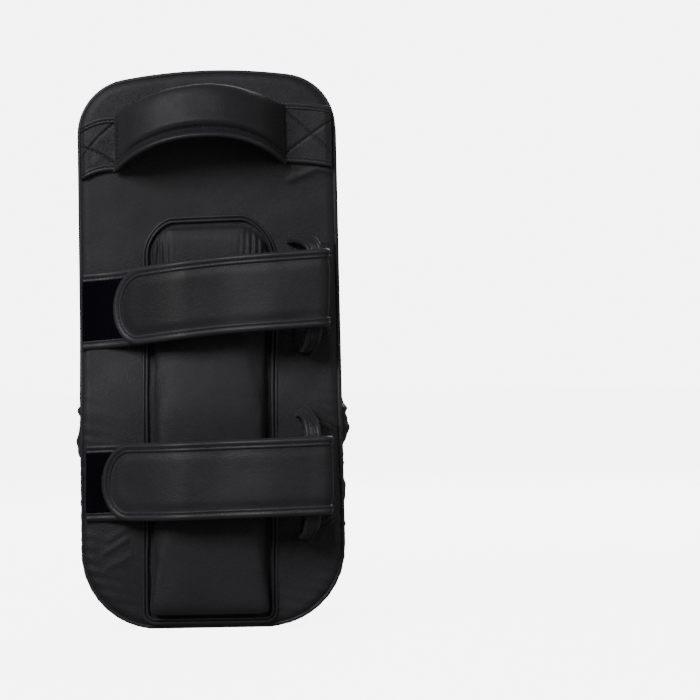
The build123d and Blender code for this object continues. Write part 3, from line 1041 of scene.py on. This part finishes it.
class Strap:
    """One forearm strap: where it lies and its own directions."""

    def __init__(self, side, extra_tilt):
        joints = frame["record"]["behaviour"]["joints"]
        joint = next(j for j in joints if j["name"] == f"{side}_strap_open")
        axis = Vector(joint["axis"])
        hinge = Vector(joint["pos_m"])
        tilt = math.atan2(-axis.x, axis.z) + extra_tilt
        self.side = side
        self.body = f"{side}_flap"
        self.along = Vector((math.cos(tilt), 0, math.sin(tilt)))
        self.up = Vector((math.sin(FOLD_LEAN), 0, math.cos(FOLD_LEAN)))
        self.panel_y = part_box(f"{side}_loop_patch")[1].y
        self.origin = Vector((0, self.panel_y, hinge.z + hinge.x * axis.x / axis.z))
        self.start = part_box(f"{side}_under_strap")[0].x - 0.0030
        self.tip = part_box(f"{side}_flap_binding")[0].x - 0.0022
        self.seed = 3.0 if side == "upper" else 8.0

    def place(self, x, height, across):
        droop = STRAP_DROOP[self.side] * smooth((0.03 - x) / 0.12)
        return self.origin + self.along * x + self.up * (across - droop) + OUT * height

    def face_point(self, x, height_at, across, lift):
        """A point on the outer face of a layer of the strap whose inner face is at height_at(x)."""
        slope = (height_at(x + 0.001) - height_at(x - 0.001)) / 0.002
        normal = (OUT - self.along * slope).normalized()
        return self.place(x, height_at(x) + STRAP_THICK, across) + normal * lift, normal

    def under_skin(self, x, across, lift=0.0):
        """A point on the outer face of the under strap, and its normal."""
        return self.face_point(x, under_height, across, lift)

    def flap_skin(self, s, across, lift=0.0):
        """A point on the outer face of the flap, s from its fold; s is negative round the fold."""
        if s >= 0:
            return self.face_point(FOLD_X - s, flap_height, across, lift)
        angle = -s / FOLD_SKIN
        normal = OUT * math.cos(angle) + self.along * math.sin(angle)
        middle = self.place(FOLD_X, FLAP_HEIGHT - FOLD_RADIUS, across)
        return middle + normal * (FOLD_SKIN + lift), normal


def under_height(x):
    """Inner face of the under strap above the panel."""
    return STRAP_CLEARANCE * smooth((x + 0.083) / 0.070)


def flap_height(x):
    """Inner face of the flap above the panel: on the pile near its tip, standing off at the fold."""
    return mix(under_height(x) + FLAP_STACK, FLAP_HEIGHT, smooth((x - 0.005) / 0.045))


def flap_outline(strap):
    """The flap's edge as (s, across, direction in), from the fold round the tip and back."""
    straight = FOLD_X - strap.tip - TIP_REACH
    lower = []
    for start, end, steps in ((-math.pi * FOLD_SKIN, 0, 16), (0, straight, 60)):
        lower += [(mix(start, end, i / steps), -STRAP_HALF, (0, 1)) for i in range(steps)]
    tip = []
    steps = 48
    for i in range(steps + 1):
        angle = -math.pi / 2 + math.pi * i / steps
        inward = Vector((-math.cos(angle) / TIP_REACH, -math.sin(angle) / STRAP_HALF)).normalized()
        tip.append((straight + TIP_REACH * math.cos(angle), STRAP_HALF * math.sin(angle), tuple(inward)))
    upper = [(s, -across, (0, -1)) for s, across, inward in lower]
    return lower + tip + upper[::-1]


def make_flap(strap):
    """The closing flap with its fold round the loop: one leather band, bound and stitched."""
    outline = flap_outline(strap)
    spine_end = FOLD_X - strap.tip - TIP_REACH - 0.006
    near_rows = [0.0006, 0.0030, 0.0056, 0.0066, 0.0074, 0.0086, 0.0104]
    far_rows = [0.12, 0.28, 0.44, 0.60, 0.76, 0.90, 1.0]
    verts = []
    for s, across, (in_s, in_across) in outline:
        row = [(s + in_s * inset, across + in_across * inset, inset) for inset in near_rows]
        last_s, last_across, last_inset = row[-1]
        for share in far_rows:
            in_to_spine = mix(last_s, min(s, spine_end), share)
            row.append((in_to_spine, last_across * (1 - share), last_inset + share * 0.02))
        for row_s, row_across, inset in row:
            puffed = 0.0009 * smooth((inset - 0.0066) / 0.006)
            wave = 0.0008 * hum(row_s * 22, row_across * 24, strap.seed)
            wave += 0.0003 * hum(row_s * 60, row_across * 50, strap.seed + 1)
            lift = puffed + wave * smooth((inset - 0.0066) / 0.004)
            verts.append(strap.flap_skin(row_s, row_across, lift)[0])
    faces = grid_faces(len(outline), len(near_rows) + len(far_rows), flip=True)
    piece = add_object(f"{strap.side}_flap_leather", verts, faces, STRAP_LEATHER, body=None)
    weld(piece)
    refine(piece)
    thicken(piece, STRAP_THICK)
    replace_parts(piece, f"{strap.side}_flap", f"{strap.side}_strap_fold")
    blend_fold(piece, strap)

    path = []
    for s, across, (in_s, in_across) in outline:
        point, normal = strap.flap_skin(s, across)
        inner = strap.flap_skin(s + in_s * 0.001, across + in_across * 0.001)[0]
        path.append((point, normal, (inner - point).normalized()))
    binding = add_binding(f"{strap.side}_flap_bound_edge", path, body=None)
    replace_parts(binding, f"{strap.side}_flap_binding")
    blend_fold(binding, strap)
    blend_fold(add_stitches(f"{strap.side}_flap_stitching", [binding_stitches(path)], body=None), strap)


def blend_fold(piece, strap):
    """Bakes the piece's transform into its mesh; the points where the fold starts and ends are worked out but
    nothing uses them.
    """
    start = strap.flap_skin(-0.001, 0)[0]
    end = strap.flap_skin(0.014, 0)[0]
    tuple(start)
    tuple(end)
    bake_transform(piece)


def make_under_strap(strap):
    """The part of the strap that runs from the left seam to the fold, with its pile and bound edges."""

    def layer(name, end, half, lift, material):
        def place(along, up):
            return strap.under_skin(mix(strap.start, end, along), half * (2 * up - 1), lift)[0]

        return add_sheet(f"{strap.side}_{name}", 100, 24, place, material, flip=True)

    band = layer("under_strap_leather", FOLD_X, STRAP_HALF - 0.0006, 0.0, STRAP_LEATHER)
    thicken(band, STRAP_THICK - 0.0003)
    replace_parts(band, f"{strap.side}_under_strap")
    tape = layer("pile", FOLD_X - 0.022, STRAP_HALF - 0.0058, 0.0010, PILE)
    thicken(tape, 0.0011)
    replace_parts(tape, f"{strap.side}_pile_patch")
    threads = []
    for name, sign in (("lower", -1), ("upper", 1)):
        path = []
        for i in range(90):
            point, normal = strap.under_skin(mix(strap.start, FOLD_X, i / 89), sign * STRAP_HALF)
            path.append((point, normal, strap.up * -sign))
        binding = add_binding(f"{strap.side}_under_strap_{name}_edge", path)
        threads.append(binding_stitches(path[:50]))
        if sign < 0:
            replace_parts(binding, f"{strap.side}_under_strap_binding")
    add_stitches(f"{strap.side}_under_strap_stitching", threads)


def loop_curve(strap, t):
    """The middle of the loop's strip at t from -1, its bottom foot, to 1, its top foot."""
    bridge_x, top, low = LOOPS[strap.side]
    foot_x, foot_across, turn = top if t > 0 else low
    straight = STRAP_HALF - 0.0005
    share = abs(t) / 0.5
    if share <= 1:
        x, height, across = bridge_x, LOOP_HEIGHT, straight * share
    else:
        angle = (share - 1) * math.pi / 2
        x = foot_x + (bridge_x - foot_x) * math.cos(angle)
        height = 0.0016 + (LOOP_HEIGHT - 0.0016) * math.cos(angle) ** 0.8
        across = straight + (foot_across - straight) * math.sin(angle)
    roll = turn * smooth((share - 1.05) / 0.7)
    return strap.place(x, height, math.copysign(across, t)), roll


def loop_stations(strap, steps):
    """Places along the strip, each with the directions across it and out of its face."""
    stations = []
    for i in range(steps + 1):
        t = 2 * i / steps - 1
        middle, roll = loop_curve(strap, t)
        run = loop_curve(strap, min(t + 0.02, 1.0))[0] - loop_curve(strap, max(t - 0.02, -1.0))[0]
        flat = run.cross(OUT).normalized()
        face = flat.cross(run).normalized()
        wide = flat * math.cos(roll) - face * math.sin(roll)
        normal = face * math.cos(roll) + flat * math.sin(roll)
        stations.append((middle, wide, normal))
    return stations


def make_loop(strap):
    """The leather loop that the strap runs through: a bound and stitched strip on two sewn feet."""
    steps = 120
    stations = loop_stations(strap, steps)

    def surface(along, across):
        middle, wide, normal = stations[round(along * steps)]
        v = 2 * across - 1
        puffed = 0.0006 + 0.0008 * smooth((1 - abs(v)) * 2 - 0.9)
        return middle + wide * (v * LOOP_HALF_WIDTH) + normal * puffed

    piece = add_sheet(f"{strap.side}_loop_leather", steps, 12, surface, STRAP_LEATHER)
    thicken(piece, 0.0020)
    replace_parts(piece, f"{strap.side}_loop")
    threads = []
    for name, sign in (("left", -1), ("right", 1)):
        path = []
        for middle, wide, normal in stations:
            edge = middle + wide * (sign * LOOP_HALF_WIDTH) + normal * 0.0006
            path.append((edge, normal, wide * -sign))
        binding = add_binding(f"{strap.side}_loop_{name}_edge", path, scale=0.75)
        threads.append(binding_stitches(path, 0.75))
        if sign > 0:
            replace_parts(binding, f"{strap.side}_loop_binding")
    add_stitches(f"{strap.side}_loop_stitching", threads)


def make_loop_patch(strap):
    """The flat patch that ties the loop to the side seam, stitched twice along both edges."""
    start = LOOPS[strap.side][1][0] + 0.002
    inner_half, outer_half = PATCH_HALF[strap.side]
    end = TOP_HALF - 0.0012

    def half_at(x):
        return mix(inner_half, outer_half, ((x - start) / (end - start)) ** 1.3)

    def place(x, across, lift):
        spot = strap.place(x, lift, across)
        spot.y += arm_y(spot.z) - strap.panel_y + 0.0018 * smooth((x - end + 0.005) / 0.005)
        return spot

    def surface(along, up):
        x = mix(start, end, along)
        across = half_at(x) * (2 * up - 1)
        inside = half_at(x) - abs(across)
        seams = sum(bell(inside, seam, 0.0009) for seam in PATCH_SEAMS)
        lift = 0.0022 - 0.0005 * seams + 0.0003 * hum(x * 60, across * 40, strap.seed)
        return place(x, across, lift)

    piece = add_sheet(f"{strap.side}_loop_patch_leather", 30, 60, surface, STRAP_LEATHER, flip=True)
    thicken(piece, 0.0014)
    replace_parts(piece, f"{strap.side}_loop_patch")
    threads = []
    for sign in (-1, 1):
        for seam in PATCH_SEAMS:
            stations = [mix(start + 0.001, end, i / 19) for i in range(20)]
            threads.append([(place(x, sign * (half_at(x) - seam), 0.0021), OUT) for x in stations])
    add_stitches(f"{strap.side}_loop_patch_stitching", threads)


for strap in (Strap("upper", 0.0), Strap("lower", math.radians(1.0))):
    make_under_strap(strap)
    make_loop_patch(strap)
    make_loop(strap)
    make_flap(strap)


# ---- CAD nodes that stay
def dress_cad_nodes():
    """Gives the inner CAD nodes and the hook patches their own materials."""
    dress = {
        "strike_foam": FOAM,
        "core_foam": FOAM,
        "back_foam": FOAM,
        "lower_wedge_foam": FOAM,
        "upper_hook_patch": HOOK,
        "lower_hook_patch": HOOK,
    }
    for node, material in dress.items():
        for slot in frame["nodes"][node].material_slots:
            slot.material = material


dress_cad_nodes()


# ---- floor, light and camera
def make_stage():
    """A white floor and a white room round it. They glow for the camera only, so the leather stays dark."""
    bpy.ops.mesh.primitive_plane_add(size=24)
    floor = bpy.context.object
    floor.name = "floor"
    bpy.ops.mesh.primitive_ico_sphere_add(subdivisions=4, radius=11)
    room = bpy.context.object
    room.name = "room"
    for stage, albedo, glow in ((floor, 0.8, 6.0), (room, 0.0, 6.4)):
        material, tree, shader = node_material(stage.name + "_white", (albedo, albedo, albedo), 0.9)
        shader.inputs["Emission Color"].default_value = (1, 1, 1, 1)
        shader.inputs["Emission Strength"].default_value = glow
        shader.inputs["Specular IOR Level"].default_value = 0.0
        stage.data.materials.append(material)
        stage.visible_diffuse = False
        stage.visible_glossy = False
    room.visible_shadow = False


def area_light(name, place, target, size, power):
    data = bpy.data.lights.new(name, "AREA")
    data.shape = "RECTANGLE"
    data.size, data.size_y = size
    data.energy = power
    lamp = bpy.data.objects.new(name, data)
    bpy.context.collection.objects.link(lamp)
    lamp.location = place
    lamp.rotation_euler = (Vector(target) - Vector(place)).to_track_quat("-Z", "Y").to_euler()
    return lamp


def make_lights():
    world = bpy.data.worlds.new("studio")
    world.use_nodes = True
    world.node_tree.nodes["Background"].inputs["Color"].default_value = (1, 1, 1, 1)
    world.node_tree.nodes["Background"].inputs["Strength"].default_value = 0.16
    bpy.context.scene.world = world
    middle = (0, 0, PAD_TOP / 2)
    top = (0, 0, PAD_TOP * 0.75)
    area_light("key", (-0.85, -1.35, 1.15), top, (0.9, 0.7), 28)
    area_light("fill", (1.5, -1.3, 0.6), middle, (1.2, 1.2), 5)
    area_light("back", (0.4, 1.8, 1.3), middle, (1.4, 1.0), 26)


def make_camera():
    """Looks square at the arm side, with the pad on the left of the frame."""
    camera = bpy.data.objects.new("camera", bpy.data.cameras.new("camera"))
    bpy.context.collection.objects.link(camera)
    distance = 2.0
    frame_width = 0.5045
    sensor = 36.0
    camera.data.sensor_width = sensor
    camera.data.lens = sensor * distance / frame_width
    aim = Vector((0.1009, UPPER_Y, 0.198))
    camera.location = aim + Vector((0, -distance, 0))
    camera.rotation_euler = (math.pi / 2, math.radians(1.0), 0)
    bpy.context.scene.camera = camera


make_stage()
make_lights()
make_camera()
